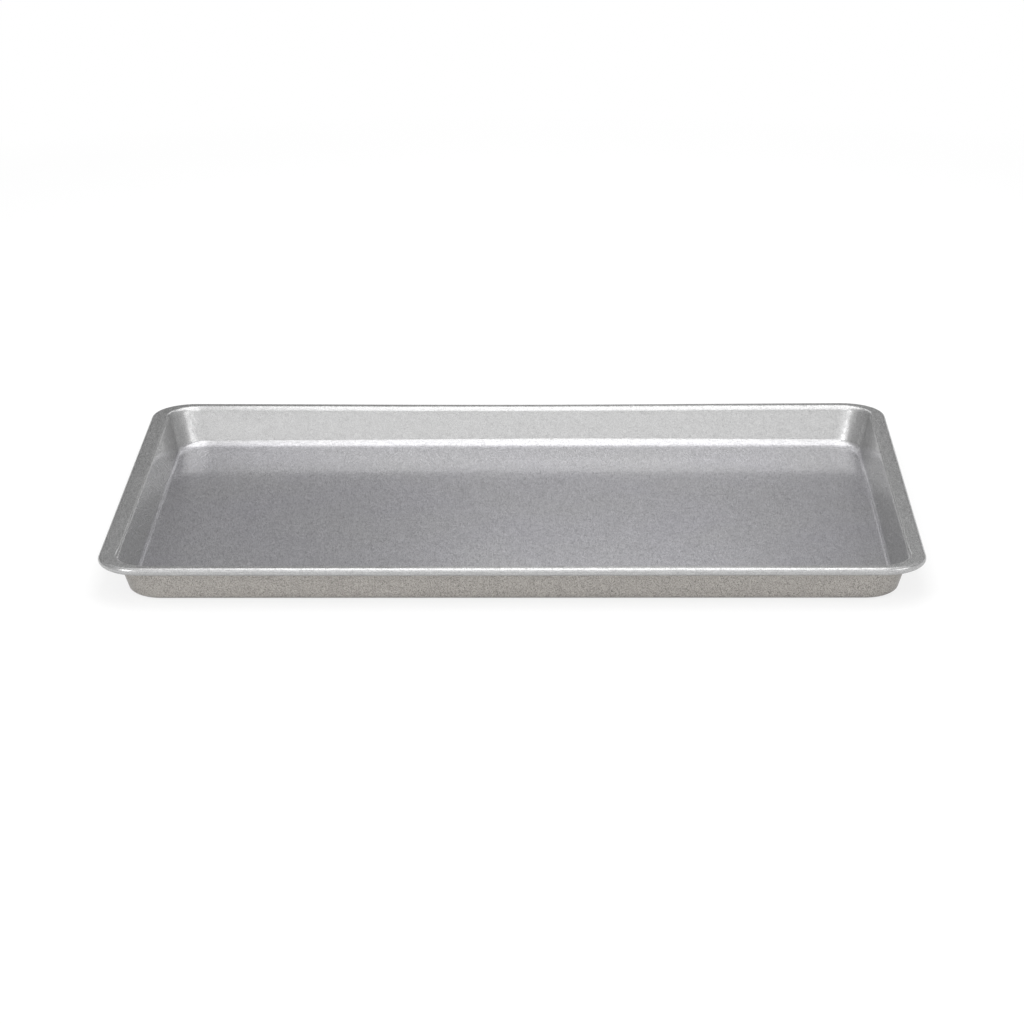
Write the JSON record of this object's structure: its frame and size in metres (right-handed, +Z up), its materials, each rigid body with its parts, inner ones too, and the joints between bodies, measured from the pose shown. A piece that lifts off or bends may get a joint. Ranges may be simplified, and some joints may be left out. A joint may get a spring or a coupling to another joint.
{
  "type": "jelly roll pan",
  "caption": "Shallow rectangular baking pan of coated sheet steel with leaning walls, round corners, a flat rim and an edge rolled round a steel wire.",
  "frame": {"origin": "centre of the floor's underside, where the pan stands", "axes": "+X along the long sides, +Y along the short sides towards the rear rim, +Z up out of the open side"},
  "size_m": [0.42, 0.276, 0.021],
  "materials": {
    "coated_steel": "silver-grey metallic non-stick coating, satin with a fine speckle",
    "wire_steel": "bright drawn steel wire"
  },
  "bodies": {
    "root": {"pan_shell": "coated_steel", "rim_wire": "wire_steel"}
  },
  "joints": []
}
